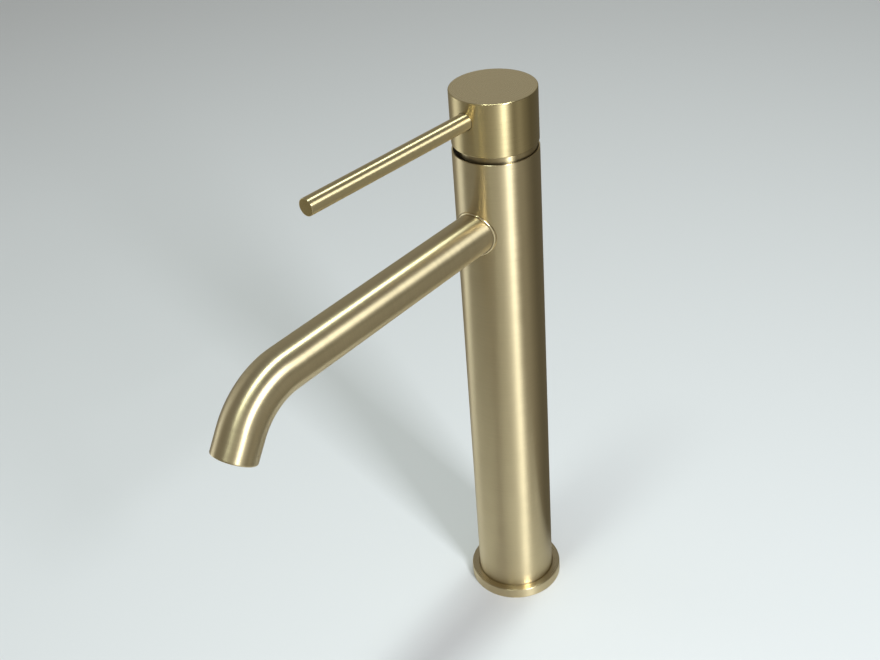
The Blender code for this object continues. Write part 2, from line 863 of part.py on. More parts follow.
def make_lever(lift_axis):
    """Rod screwed into the cap, with the grub screw that clamps the spindle behind its stud."""
    at_lever = {"location": (0.0, 0.0, LEVER_HEIGHT - PIVOT_HEIGHT), "rotation": ALONG_Y}
    tip_chamfer = 0.0003
    stud_radius = 0.0028
    turned(
        "lever_rod",
        [
            (0.0, LEVER_REACH),
            (LEVER_RADIUS - tip_chamfer, LEVER_REACH),
            (LEVER_RADIUS, LEVER_REACH - tip_chamfer),
            (LEVER_RADIUS, LEVER_SHOULDER),
            (stud_radius, LEVER_SHOULDER),
            (stud_radius, 0.0098),
            (0.0, 0.0098),
        ],
        "brushed_gold",
        SMALL_STEPS,
        parent=lift_axis,
        **at_lever,
    )
    grub = turned(
        "grub_screw",
        [(0.0, 0.0093), (stud_radius, 0.0093), (stud_radius, 0.0047), (0.0, 0.0047)],
        "steel",
        SMALL_STEPS,
        parent=lift_axis,
        **at_lever,
    )
    key = cylinder(
        "hex_key_cutter",
        0.0015,
        0.0040,
        None,
        6,
        parent=lift_axis,
        location=(0.0, -0.0093, LEVER_HEIGHT - PIVOT_HEIGHT),
        rotation=ALONG_Y,
    )
    cut(grub, key)


# ---------------------------------------------------------------- finished meshes
def settle_meshes():
    """Replaces each piece's modifiers with their result, and shades its round faces smooth."""
    bpy.context.view_layer.update()
    graph = bpy.context.evaluated_depsgraph_get()
    finished = {}
    for obj in PARTS.objects:
        if obj.type == "MESH":
            finished[obj] = bpy.data.meshes.new_from_object(obj.evaluated_get(graph))
    for obj, mesh in finished.items():
        obj.modifiers.clear()
        obj.data = mesh
        mesh.name = obj.name
        mesh.shade_smooth()
        mesh.set_sharp_from_angle(angle=math.radians(35))


def main():
    make_column()
    make_flange()
    make_base_plug()
    make_risers()
    make_deck_clamp()
    make_valve_body()
    mouth = make_spout()
    make_spout_root()
    make_aerator(mouth)
    make_cartridge_base()
    make_fixed_disc()
    make_cartridge_housing()
    make_bonnet_ring()
    turn_axis = axis_empty("handle_turn_axis", (0.0, 0.0, 0.0), (0.0, 0.0, HANDLE_TURN_AT_REST))
    make_rotor(turn_axis)
    make_sliding_disc(turn_axis)
    lift_axis = axis_empty("handle_lift_axis", (0.0, 0.0, PIVOT_HEIGHT), parent=turn_axis)
    make_spindle(lift_axis)
    make_cap(lift_axis)
    make_lever(lift_axis)
    settle_meshes()


main()
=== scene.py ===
"""Looks of the tall basin mixer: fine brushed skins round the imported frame, a plain studio and the camera.

Metres, in the frame's own coordinates: origin on the column's axis at the deck, +Z up, and the spout and the
lever towards -Y. Pieces are turned or swept surfaces, so each one carries the coordinates of its brushing.
"""

import json
import math

import bmesh
import bpy
from mathutils import Matrix, Vector


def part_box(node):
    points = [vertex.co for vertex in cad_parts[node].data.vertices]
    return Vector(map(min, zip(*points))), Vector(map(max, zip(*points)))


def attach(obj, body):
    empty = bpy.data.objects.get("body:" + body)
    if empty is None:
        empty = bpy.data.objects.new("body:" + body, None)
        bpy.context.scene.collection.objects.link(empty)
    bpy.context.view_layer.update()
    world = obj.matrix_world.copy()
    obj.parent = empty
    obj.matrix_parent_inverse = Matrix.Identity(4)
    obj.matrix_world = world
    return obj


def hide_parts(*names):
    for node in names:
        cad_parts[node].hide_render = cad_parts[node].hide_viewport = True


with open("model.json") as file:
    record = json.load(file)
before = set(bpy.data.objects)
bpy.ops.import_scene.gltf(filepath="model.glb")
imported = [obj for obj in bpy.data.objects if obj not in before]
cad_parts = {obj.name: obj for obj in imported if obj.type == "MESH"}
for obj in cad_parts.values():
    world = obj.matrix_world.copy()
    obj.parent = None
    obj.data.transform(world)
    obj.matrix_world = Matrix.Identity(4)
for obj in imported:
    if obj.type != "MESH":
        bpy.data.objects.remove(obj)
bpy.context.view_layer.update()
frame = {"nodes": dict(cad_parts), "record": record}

# ---------------------------------------------------------------- camera and lamps
CAMERA_AZIMUTH = math.radians(37.46)  # round the column, from -Y towards +X
CAMERA_HEIGHT = 0.53927
CAMERA_DISTANCE = 0.55332  # level distance to the column's axis
CAMERA_YAW = math.radians(3.46)  # turned left of the column's axis
CAMERA_PITCH = math.radians(33.67)
CAMERA_ROLL = math.radians(-4.73)
CAMERA_LENS = 52.617  # mm, on a 36 mm sensor
LAMP_AIM = Vector((0.0, -0.05, 0.20))  # the point that the lamps face and are measured from

# ---------------------------------------------------------------- sizes repeated from the CAD source
GAP = 0.0003  # left between neighbouring pieces
COLUMN_WALL = 0.0024
COLUMN_RIM_WALL = 0.0008  # at the groove round the bonnet ring
COLUMN_RIM_DEPTH = 0.0018
SPOUT_HEIGHT = 0.2350
SPOUT_RADIUS = 0.0104
SPOUT_WALL = 0.0012
SPOUT_ROOT = 0.0148
SPOUT_STRAIGHT = 0.1516
SPOUT_BEND_RADIUS = 0.0334
SPOUT_BEND_ANGLE = math.radians(57.1)
SPOUT_END_LENGTH = 0.0114
SPOUT_LENGTH = SPOUT_STRAIGHT + SPOUT_BEND_RADIUS * SPOUT_BEND_ANGLE + SPOUT_END_LENGTH
PIVOT_HEIGHT = 0.2650  # of the lift axis
CAP_RADIUS = 0.0209
CAP_SKIRT = 0.0010
CAP_CEILING = 0.2858
SPINDLE_HALF_WIDTH = 0.0043
SPINDLE_TOP = 0.2985
LEVER_HEIGHT = 0.2932
LEVER_RADIUS = 0.0041
LEVER_REACH = 0.1194
LEVER_SHOULDER = 0.0158  # where the rod stops and its screwed stud starts
LEVER_STUD_END = 0.0098
LEVER_STUD_RADIUS = 0.0028
HANDLE_TURN_AT_REST = math.radians(-3.8)
AERATOR_BORE = 0.0074
PORT_X = 0.0070
PORT_Y = 0.0040
PORT_RADIUS = 0.0026
PIPE_RADIUS = 0.0040
PLUG_LIP = 0.0017
INLET_RADIUS = 0.0046  # inside the thread of an M10 x 1 socket
INLET_DEPTH = 0.0110
STUD_Y = -0.0095
STUD_RADIUS = 0.00385  # M8
STUD_SOCKET_DEPTH = 0.0150

# ---------------------------------------------------------------- choices for the looks
ROUND = 160  # steps round the large outer pieces
FINE = 96  # steps round the spout and the small outer pieces
SMALL = 48  # steps round small pieces
SUPPORT = 0.35  # of the rounding, for the loop that holds the flat beside it
SHARP = math.radians(40)  # edges that turn more than this are shaded sharp
PAST = 0.01  # how far a cutter reaches past the piece that it cuts
BONNET_SHIFT = Vector((0.0008, 0.0007, 0.0))  # the photo's dark gap is wider on one side
BONNET_THICKER = 0.0005
BONNET_WALL_TOP = 0.2766
CAP_LEAN = 1.0  # turns that the cap's brushing drifts round in a metre
INLET_PITCH = 0.001
STUD_PITCH = 0.00125
THREAD_RELIEF = 0.0004  # from a hole's wall out to the bottom of its thread
DECK_HOLE_RADIUS = 0.0249
DECK_NEAR = (-0.34, -0.20, 0.13, 0.04)  # lowest x and y, and highest x and y
DECK_FAR = (-40.0, -40.0, 40.0, 40.0)


# ---------------------------------------------------------------- camera and studio
def make_camera():
    data = bpy.data.cameras.new("photo_view")
    data.lens = CAMERA_LENS
    camera = bpy.data.objects.new("photo_view", data)
    bpy.context.scene.collection.objects.link(camera)
    heading = CAMERA_AZIMUTH + CAMERA_YAW
    level = math.cos(CAMERA_PITCH)
    forward = Vector((-math.sin(heading) * level, math.cos(heading) * level, -math.sin(CAMERA_PITCH)))
    right = Vector((math.cos(heading), math.sin(heading), 0.0))
    up = right.cross(forward)
    rolled_right = math.cos(CAMERA_ROLL) * right + math.sin(CAMERA_ROLL) * up
    rolled_up = math.cos(CAMERA_ROLL) * up - math.sin(CAMERA_ROLL) * right
    turn = Matrix((rolled_right, rolled_up, -forward)).transposed()
    place = Vector(
        (
            CAMERA_DISTANCE * math.sin(CAMERA_AZIMUTH),
            -CAMERA_DISTANCE * math.cos(CAMERA_AZIMUTH),
            CAMERA_HEIGHT,
        )
    )
    camera.matrix_world = Matrix.Translation(place) @ turn.to_4x4()
    bpy.context.scene.camera = camera


def direction(azimuth, elevation):
    """Unit vector from the object: azimuth 0 is -Y and 90 is +X, in degrees."""
    a, e = math.radians(azimuth), math.radians(elevation)
    return Vector((math.sin(a) * math.cos(e), -math.cos(a) * math.cos(e), math.sin(e)))


def softbox(name, azimuth, elevation, distance, width, height, power, color):
    """A rectangular lamp that faces the object, and that the camera doesn't see. Its width is level."""
    lamp = bpy.data.lights.new(name, "AREA")
    lamp.shape = "RECTANGLE"
    lamp.size = width
    lamp.size_y = height
    lamp.energy = power
    lamp.color = color
    obj = bpy.data.objects.new(name, lamp)
    bpy.context.scene.collection.objects.link(obj)
    back = direction(azimuth, elevation)
    turn = back.to_track_quat("Z", "Y").to_matrix().to_4x4()
    obj.matrix_world = Matrix.Translation(LAMP_AIM + back * distance) @ turn
    obj.visible_camera = False


def make_lights():
    """A window at the right, and a long strip overhead that runs along the spout."""
    softbox("key_window", 71.5, 33, 1.3, 0.24, 0.50, 14.0, (0.88, 0.94, 1.0))
    softbox("overhead_strip", -90, 89, 1.2, 1.2, 0.15, 11.5, (0.80, 0.92, 0.90))


# Brightness of the surroundings over and under the horizon, as (azimuth in degrees, brightness)
UPPER_SURROUNDINGS = (
    (-180, 0.145),
    (-142, 0.38),
    (-108, 0.24),
    (-84, 0.32),
    (-75, 1.10),
    (-66, 0.90),
    (-54, 0.30),
    (-20, 0.26),
    (5, 0.24),
    (30, 0.38),
    (55, 0.80),
    (72, 1.00),
    (80, 0.46),
    (88, 0.19),
    (130, 0.11),
    (180, 0.145),
)
LOWER_SURROUNDINGS = (
    (-180, 0.14),
    (-135, 0.18),
    (-104, 0.26),
    (-86, 0.46),
    (-77, 1.75),
    (-67, 1.30),
    (-54, 0.22),
    (-20, 0.25),
    (5, 0.26),
    (30, 0.42),
    (55, 0.82),
    (72, 1.00),
    (80, 0.48),
    (88, 0.25),
    (104, 0.44),
    (124, 0.26),
    (142, 0.14),
    (180, 0.14),
)
CEILING_FRONT = 0.26
CEILING_BACK = 0.27


def shade(brightness):
    """Colour of the surroundings: warm where they are dim, and cool where they are bright."""
    cool = min(brightness, 1.0)
    return (brightness * (1.07 - 0.13 * cool), brightness, brightness * (0.80 + 0.24 * cool), 1.0)


def world_range(tree, value, from_low, from_high, to_low=0.0, to_high=1.0):
    node = tree.nodes.new("ShaderNodeMapRange")
    node.interpolation_type = "SMOOTHSTEP"
    for socket, number in (
        ("From Min", from_low),
        ("From Max", from_high),
        ("To Min", to_low),
        ("To Max", to_high),
    ):
        node.inputs[socket].default_value = number
    tree.links.new(value, node.inputs["Value"])
    return node.outputs["Result"]


def world_ramp(tree, around, brightnesses):
    ramp = tree.nodes.new("ShaderNodeValToRGB")
    ramp.color_ramp.interpolation = "EASE"
    stops = ramp.color_ramp.elements
    while len(stops) < len(brightnesses):
        stops.new(0.5)
    for stop, (degrees, brightness) in zip(stops, brightnesses):
        stop.position = (degrees + 180) / 360
        stop.color = shade(brightness)
    tree.links.new(around, ramp.inputs["Fac"])
    return ramp.outputs["Color"]


def world_mix(tree, factor, first, second):
    mix = tree.nodes.new("ShaderNodeMix")
    mix.data_type = "RGBA"
    tree.links.new(factor, mix.inputs["Factor"])
    tree.links.new(first, mix.inputs["A"])
    tree.links.new(second, mix.inputs["B"])
    return mix.outputs["Result"]


def make_world():
    """Soft surroundings: a window side and a lamp-lit side, dim between them, under a plain grey ceiling."""
    world = bpy.data.worlds.new("studio")
    bpy.context.scene.world = world
    world.use_nodes = True
    tree = world.node_tree
    nodes, links = tree.nodes, tree.links
    coords = nodes.new("ShaderNodeTexCoord")
    axes = nodes.new("ShaderNodeSeparateXYZ")
    links.new(coords.outputs["Generated"], axes.inputs["Vector"])
    forward = nodes.new("ShaderNodeMath")
    forward.operation = "MULTIPLY"
    forward.inputs[1].default_value = -1.0
    links.new(axes.outputs["Y"], forward.inputs[0])
    azimuth = nodes.new("ShaderNodeMath")
    azimuth.operation = "ARCTAN2"
    links.new(axes.outputs["X"], azimuth.inputs[0])
    links.new(forward.outputs["Value"], azimuth.inputs[1])
    around = nodes.new("ShaderNodeMapRange")
    around.inputs["From Min"].default_value = -math.pi
    around.inputs["From Max"].default_value = math.pi
    links.new(azimuth.outputs["Value"], around.inputs["Value"])
    lower = world_ramp(tree, around.outputs["Result"], LOWER_SURROUNDINGS)
    upper = world_ramp(tree, around.outputs["Result"], UPPER_SURROUNDINGS)
    ceiling = world_range(tree, axes.outputs["Y"], -0.5, 0.6, CEILING_FRONT, CEILING_BACK)
    sides = world_mix(tree, world_range(tree, axes.outputs["Z"], -0.15, 0.10), lower, upper)
    whole = world_mix(tree, world_range(tree, axes.outputs["Z"], 0.42, 0.70), sides, ceiling)
    links.new(whole, nodes["Background"].inputs["Color"])


def rectangle(x0, y0, x1, y1):
    return [(x0, y0), (x1, y0), (x1, y1), (x0, y1)]


def make_floor():
    """A pale deck with the hole under the foot, and a wide floor round it that the metal doesn't mirror."""
    near, far = rectangle(*DECK_NEAR), rectangle(*DECK_FAR)
    around = [math.tau * step / FINE for step in range(FINE)]
    hole = [(DECK_HOLE_RADIUS * math.cos(a), DECK_HOLE_RADIUS * math.sin(a)) for a in around]
    material = bpy.data.materials.new("pale_floor")
    material.use_nodes = True
    shader = material.node_tree.nodes["Principled BSDF"]
    shader.inputs["Base Color"].default_value = (0.72, 0.715, 0.715, 1.0)
    shader.inputs["Roughness"].default_value = 0.55

    for name, outer, inner, in_reflections in (
        ("deck_near", near, hole, True),
        ("deck_far", far, near, False),
    ):
        bm = bmesh.new()
        for outline in (outer, inner):
            points = [bm.verts.new((x, y, 0.0)) for x, y in outline]
            for first, second in zip(points, points[1:] + points[:1]):
                bm.edges.new((first, second))
        bmesh.ops.triangle_fill(bm, use_beauty=True, edges=bm.edges[:], normal=(0.0, 0.0, 1.0))
        mesh = bpy.data.meshes.new(name)
        bm.to_mesh(mesh)
        bm.free()
        mesh.materials.append(material)
        obj = bpy.data.objects.new(name, mesh)
        bpy.context.scene.collection.objects.link(obj)
        obj.visible_glossy = in_reflections


# ---------------------------------------------------------------- materials
STROKES = (3600.0, 60.0, 60.0)  # features per metre of the brushing: fine across it, long round it
PATCHES = (70.0, 45.0, 45.0)
TURNING_MARKS = (900.0, 900.0, 2600.0)
DRAWN_MARKS = (1500.0, 1500.0, 120.0)
STAINS = (160.0, 160.0, 160.0)
MOTTLING = (120.0, 120.0, 120.0)
FINEST = 0.0000015  # height of the faintest brushing, in metres as all bump heights are


def new_material(name, color, roughness, metallic):
    material = bpy.data.materials.new(name)
    material.use_nodes = True
    shader = material.node_tree.nodes["Principled BSDF"]
    shader.inputs["Base Color"].default_value = (*color, 1.0)
    shader.inputs["Roughness"].default_value = roughness
    shader.inputs["Metallic"].default_value = metallic
    return material, shader


def scaled_noise(tree, source, scale, detail, roughness=0.55):
    """Noise on a coordinate that is stretched by scale, which gives the features per metre."""
    mapping = tree.nodes.new("ShaderNodeMapping")
    mapping.inputs["Scale"].default_value = scale
    tree.links.new(source, mapping.inputs["Vector"])
    noise = tree.nodes.new("ShaderNodeTexNoise")
    noise.inputs["Scale"].default_value = 1.0
    noise.inputs["Detail"].default_value = detail
    noise.inputs["Roughness"].default_value = roughness
    tree.links.new(mapping.outputs["Vector"], noise.inputs["Vector"])
    return noise.outputs["Fac"]


def spread(tree, value, low, high, start=0.3, end=0.7):
    """Maps a noise value to low..high."""
    node = tree.nodes.new("ShaderNodeMapRange")
    for socket, number in (("From Min", start), ("From Max", end), ("To Min", low), ("To Max", high)):
        node.inputs[socket].default_value = number
    tree.links.new(value, node.inputs["Value"])
    return node.outputs["Result"]


def tint(tree, factor, color, depth):
    """Colour from darker to lighter by depth, as factor goes from 0 to 1."""
    mix = tree.nodes.new("ShaderNodeMix")
    mix.data_type = "RGBA"
    mix.inputs["A"].default_value = (*[c * (1 - depth) for c in color], 1.0)
    mix.inputs["B"].default_value = (*[min(1.0, c * (1 + depth)) for c in color], 1.0)
    tree.links.new(factor, mix.inputs["Factor"])
    return mix.outputs["Result"]


def product(tree, first, second):
    node = tree.nodes.new("ShaderNodeMath")
    node.operation = "MULTIPLY"
    tree.links.new(first, node.inputs[0])
    tree.links.new(second, node.inputs[1])
    return node.outputs["Value"]


def bump(tree, shader, height, distance):
    node = tree.nodes.new("ShaderNodeBump")
    node.inputs["Distance"].default_value = distance
    tree.links.new(height, node.inputs["Height"])
    tree.links.new(node.outputs["Normal"], shader.inputs["Normal"])


def turning_rings(tree, grain):
    """Coordinate for a face that was turned flat: the first axis is the distance from the middle."""
    flattened = tree.nodes.new("ShaderNodeVectorMath")
    flattened.operation = "MULTIPLY"
    flattened.inputs[1].default_value = (0.0, 1.0, 1.0)
    tree.links.new(grain, flattened.inputs[0])
    distance = tree.nodes.new("ShaderNodeVectorMath")
    distance.operation = "LENGTH"
    tree.links.new(flattened.outputs["Vector"], distance.inputs[0])
    first = tree.nodes.new("ShaderNodeCombineXYZ")
    tree.links.new(distance.outputs["Value"], first.inputs["X"])
    total = tree.nodes.new("ShaderNodeVectorMath")
    total.operation = "ADD"
    tree.links.new(flattened.outputs["Vector"], total.inputs[0])
    tree.links.new(first.outputs["Vector"], total.inputs[1])
    return total.outputs["Vector"]


def brushed_metal(name, color, roughness, anisotropy, depth=0.05, height=0.000012, flat=False):
    """Metal brushed round its axis: the strokes are long round it, and fine along it or out from it."""
    material, shader = new_material(name, color, roughness, 1.0)
    tree = material.node_tree
    attribute = tree.nodes.new("ShaderNodeAttribute")
    attribute.attribute_name = "grain"
    grain = attribute.outputs["Vector"]
    if flat:
        grain = turning_rings(tree, grain)
    strokes = scaled_noise(tree, grain, STROKES, 4.0, 0.62)
    patches = scaled_noise(tree, grain, PATCHES, 2.0)
    rim = tree.nodes.new("ShaderNodeAttribute")
    rim.attribute_name = "rim"
    stroke_roughness = spread(tree, strokes, roughness * 0.86, roughness * 1.14)
    patch_roughness = spread(tree, patches, 0.95, 1.05)
    rim_polish = spread(tree, rim.outputs["Fac"], 1.0, 0.82, 0.0, 1.0)
    worn = product(tree, product(tree, stroke_roughness, patch_roughness), rim_polish)
    tree.links.new(worn, shader.inputs["Roughness"])
    tree.links.new(tint(tree, spread(tree, strokes, 0.0, 1.0), color, depth), shader.inputs["Base Color"])
    bump(tree, shader, strokes, height)
    if anisotropy:
        tangent = tree.nodes.new("ShaderNodeTangent")
        tangent.direction_type = "UV_MAP"
        tangent.uv_map = "brush"
        shader.inputs["Anisotropic"].default_value = anisotropy
        tree.links.new(tangent.outputs["Tangent"], shader.inputs["Tangent"])
    return material


def plain_metal(name, color, roughness, scale):
    """Machined or drawn metal on a CAD node: fine turning marks, stains and a light grain."""
    material, shader = new_material(name, color, roughness, 1.0)
    tree = material.node_tree
    coords = tree.nodes.new("ShaderNodeTexCoord").outputs["Object"]
    marks = scaled_noise(tree, coords, scale, 4.0, 0.6)
    stains = scaled_noise(tree, coords, STAINS, 3.0)
    rough = product(
        tree,
        spread(tree, marks, roughness * 0.85, roughness * 1.2),
        spread(tree, stains, 0.9, 1.15),
    )
    tree.links.new(rough, shader.inputs["Roughness"])
    tree.links.new(tint(tree, spread(tree, stains, 0.0, 1.0), color, 0.07), shader.inputs["Base Color"])
    bump(tree, shader, marks, 0.00002)
    return material


def soft_plastic(name, color, roughness, speckle=2200.0, depth=0.05, height=0.00003):
    """Moulded plastic, rubber or ceramic: a fine grain over broad variation."""
    material, shader = new_material(name, color, roughness, 0.0)
    tree = material.node_tree
    coords = tree.nodes.new("ShaderNodeTexCoord").outputs["Object"]
    fine = scaled_noise(tree, coords, (speckle,) * 3, 3.0)
    broad = scaled_noise(tree, coords, MOTTLING, 3.0)
    rough = product(
        tree,
        spread(tree, fine, roughness * 0.85, roughness * 1.15),
        spread(tree, broad, 0.94, 1.06),
    )
    tree.links.new(rough, shader.inputs["Roughness"])
    tree.links.new(tint(tree, spread(tree, broad, 0.0, 1.0), color, depth), shader.inputs["Base Color"])
    bump(tree, shader, fine, height)
    return material


GOLD = (0.64, 0.53, 0.32)
HANDLE_GOLD = (0.59, 0.48, 0.255)
LEVER_GOLD = (0.62, 0.51, 0.285)
# A darker copy of the gold, as painted shade on the lever's flat end.
LEVER_TIP_SHADE_GOLD = (0.50, 0.39, 0.17)
# A darker copy of the gold, as painted shade: on the ring's wall in the gap under the cap, and on the ring in
# the spout's mouth.
SHADED_GOLD = (0.55, 0.45, 0.26)
# Near black, as painted shade: in the column's bore, in the groove round the ring and on the ring's foot.
PAINTED_GROOVE_SHADE_BROWN = (0.045, 0.036, 0.024)
BRUSHED = brushed_metal("brushed_gold_round", GOLD, 0.40, 0.93)
BRUSHED_CAP = brushed_metal("brushed_gold_cap", HANDLE_GOLD, 0.32, 0.97, height=0.000007)
BRUSHED_LEVER = brushed_metal("brushed_gold_lever", LEVER_GOLD, 0.43, 0.97, height=0.000006)
SATIN = brushed_metal("satin_gold_flat", GOLD, 0.27, 0.0, depth=0.01, height=FINEST, flat=True)
BRUSHED_FOOT = brushed_metal("brushed_gold_flat", GOLD, 0.30, 0.90, depth=0.01, height=FINEST, flat=True)
LEVER_TIP_SHADE = brushed_metal("painted_shade_gold_flat", LEVER_TIP_SHADE_GOLD, 0.14, 0.0, depth=0.01, height=0.0, flat=True)
POLISHED = brushed_metal("polished_gold_edge", GOLD, 0.22, 0.0, depth=0.03)
# Brushed gold in its darker copy: painted shade.
SHADED_BRUSHED_GOLD = brushed_metal("painted_shade_gold_round", SHADED_GOLD, 0.32, 0.96)
# Near-black metal that stands for the shade in the bore and the grooves.
PAINTED_GROOVE_SHADE = plain_metal("painted_shade_groove", PAINTED_GROOVE_SHADE_BROWN, 0.55, TURNING_MARKS)
CAD_FINISHES = {  # for the material slots of the record
    "brushed_gold": BRUSHED,
    # The record's dark_gold slot takes the same darker gold of the painted shade.
    "dark_gold": plain_metal("dark_gold", SHADED_GOLD, 0.38, TURNING_MARKS),
    "raw_brass": plain_metal("raw_brass", (0.62, 0.45, 0.20), 0.34, TURNING_MARKS),
    "copper": plain_metal("drawn_copper", (0.72, 0.36, 0.22), 0.30, DRAWN_MARKS),
    "steel": plain_metal("turned_steel", (0.56, 0.56, 0.55), 0.32, TURNING_MARKS),
    "ceramic": soft_plastic("lapped_ceramic", (0.86, 0.85, 0.81), 0.16, 3000.0, 0.02, 0.00001),
    "white_plastic": soft_plastic("white_acetal", (0.78, 0.78, 0.75), 0.46),
    "grey_plastic": soft_plastic("grey_nylon", (0.22, 0.23, 0.25), 0.52),
    "black_rubber": soft_plastic("black_rubber", (0.030, 0.030, 0.032), 0.70, 1600.0, 0.20, 0.00006),
}


def finish_cad_nodes():
    """Gives every CAD node the procedural finish of its record slot."""
    for part in frame["record"]["subparts"]:
        node = frame["nodes"][part["node"]]
        for slot in node.material_slots:
            slot.material = CAD_FINISHES[part["material_slot"]]


# ---------------------------------------------------------------- turned and swept surfaces
def upright(along, x, y):
    """Centreline up the column's axis."""
    return Vector((x, y, along))


def forward_at(height):
    """Centreline towards -Y at a height. The distance along it is measured from the column's axis."""

    def place(along, x, y):
        return Vector((x, -along, height + y))

    return place


def spout_place(along, x, y):
    """Centreline of the spout: level, one bend down, then straight. Along is from the column's axis."""
    bend_length = SPOUT_BEND_RADIUS * SPOUT_BEND_ANGLE
    turn = min(max(along - SPOUT_STRAIGHT, 0.0), bend_length) / SPOUT_BEND_RADIUS
    beyond = max(along - SPOUT_STRAIGHT - bend_length, 0.0)
    level = min(along, SPOUT_STRAIGHT) + SPOUT_BEND_RADIUS * math.sin(turn) + beyond * math.cos(turn)
    drop = SPOUT_BEND_RADIUS * (1.0 - math.cos(turn)) + beyond * math.sin(turn)
    return Vector((x, -level - y * math.sin(turn), SPOUT_HEIGHT - drop + y * math.cos(turn)))


def rounded(corners, steps=5, closed=True):
    """Profile as (radius, along, rim) points, from (radius, along, rounding) corners. Rim is 1 on arcs."""
    points = []
    count = len(corners)
    for number, (radius, along, rounding) in enumerate(corners):
        corner = Vector((radius, along))
        if rounding == 0.0 or (not closed and number in (0, count - 1)):
            points.append((radius, along, 0.0))
            continue
        before = (Vector(corners[number - 1][:2]) - corner).normalized()
        after = (Vector(corners[(number + 1) % count][:2]) - corner).normalized()
        half = before.angle(after) / 2
        reach = rounding / math.tan(half)
        centre = corner + (before + after).normalized() * (rounding / math.sin(half))
        start = corner + before * reach - centre
        sweep = start.angle_signed(corner + after * reach - centre)
        hold = reach + SUPPORT * rounding
        points.append((*(corner + before * hold), 0.0))
        for step in range(steps + 1):
            turn = Matrix.Rotation(-sweep * step / steps, 2)
            points.append((*(centre + turn @ start), 1.0))
        points.append((*(corner + after * hold), 0.0))
    return points


def with_stations(profile, stations):
    """The same profile with more points along its straight runs, at these distances along the centreline."""
    points = []
    for first, second in zip(profile, profile[1:] + profile[:1]):
        points.append(first)
        low, high = sorted((first[1], second[1]))
        inside = [s for s in stations if low + 1e-5 < s < high - 1e-5]
        for station in sorted(inside, reverse=first[1] > second[1]):
            share = (station - first[1]) / (second[1] - first[1])
            points.append((first[0] + share * (second[0] - first[0]), station, 0.0))
    return points


def turned(name, profile, materials, place=upright, steps=ROUND, closed=True, lean=0.0):
    """Turns (radius, along, rim) points round the centreline that place gives.
    Flat ends take the second material. Lean is how many turns the brushing drifts round in a metre."""
    bm = bmesh.new()
    brush = bm.loops.layers.uv.new("brush")
    grain = bm.verts.layers.float_vector.new("grain")
    rim_layer = bm.verts.layers.float.new("rim")
    angles = [math.tau * step / steps for step in range(steps)]
    rings = []
    for radius, along, rim in profile:
        ring = []
        for angle in angles if radius > 1e-6 else angles[:1]:
            x, y = radius * math.cos(angle), radius * math.sin(angle)
            vert = bm.verts.new(place(along, x, y))
            vert[grain] = (along, x, y)
            vert[rim_layer] = rim
            ring.append(vert)
        rings.append(ring)
    distance = [0.0]
    for first, second in zip(profile, profile[1:] + profile[:1]):
        distance.append(distance[-1] + math.hypot(second[0] - first[0], second[1] - first[1]))
    pairs = len(profile) if closed else len(profile) - 1
    for row in range(pairs):
        upper, lower = rings[row], rings[(row + 1) % len(rings)]
        flat = abs(profile[row][1] - profile[(row + 1) % len(rings)][1]) < 1e-7
        for step in range(steps):
            after = (step + 1) % steps
            corners = [
                (upper[step % len(upper)], distance[row], step),
                (lower[step % len(lower)], distance[row + 1], step),
                (lower[after % len(lower)], distance[row + 1], step + 1),
                (upper[after % len(upper)], distance[row], step + 1),
            ]
            kept = [c for n, c in enumerate(corners) if c[0] is not corners[n - 1][0]]
            if len(kept) < 3:
                continue
            face = bm.faces.new([c[0] for c in kept])
            face.smooth = True
            face.material_index = int(flat and len(materials) > 1)
            for loop, corner in zip(face.loops, kept):
                loop[brush].uv = (corner[1], corner[2] / steps + lean * corner[1])
    bmesh.ops.recalc_face_normals(bm, faces=bm.faces)
    return mesh_object(name, bm, materials)


def mesh_object(name, bm, materials):
    mesh = bpy.data.meshes.new(name)
    bm.to_mesh(mesh)
    bm.free()
    for material in materials:
        mesh.materials.append(material)
    obj = bpy.data.objects.new(name, mesh)
    bpy.context.scene.collection.objects.link(obj)
    mesh.set_sharp_from_angle(angle=SHARP)
    return obj


def apply_modifiers(obj):
    bpy.context.view_layer.update()
    graph = bpy.context.evaluated_depsgraph_get()
    mesh = bpy.data.meshes.new_from_object(obj.evaluated_get(graph))
    obj.modifiers.clear()
    obj.data = mesh


def cut(obj, *cutters, operation="DIFFERENCE"):
    """Applies each cutter to the piece, and removes the cutters."""
    for cutter in cutters:
        boolean = obj.modifiers.new(cutter.name, "BOOLEAN")
        boolean.operation = operation
        boolean.solver = "EXACT"
        boolean.object = cutter
    apply_modifiers(obj)
    for cutter in cutters:
        bpy.data.objects.remove(cutter, do_unlink=True)
    obj.data.set_sharp_from_angle(angle=SHARP)


def line_inside(obj, radius, material_index):
    """Gives this material to the faces that are nearer to the column's axis than the radius."""
    for face in obj.data.polygons:
        if math.hypot(face.center.x, face.center.y) < radius:
            face.material_index = material_index


def true_normals(obj, radius, centre=(0.0, 0.0)):
    """Sets the exact normals of an upright round wall, so that a cut in it leaves no facets in its shine."""
    mesh = obj.data
    normals = [corner.vector.copy() for corner in mesh.corner_normals]
    for face in mesh.polygons:
        if abs(face.normal.z) > 0.05:
            continue
        for loop in face.loop_indices:
            point = mesh.vertices[mesh.loops[loop].vertex_index].co
            outward = Vector((point.x - centre[0], point.y - centre[1], 0.0))
            if abs(outward.length - radius) < 2e-5 and outward.dot(face.normal) > 0.9 * outward.length:
                normals[loop] = outward.normalized()
    mesh.normals_split_custom_set(normals)


def cylinder_cutter(name, radius, low, high, place, steps=SMALL):
    profile = [(0.0, high, 0.0), (radius, high, 0.0), (radius, low, 0.0), (0.0, low, 0.0)]
    return turned(name, profile, [], place, steps, closed=False)


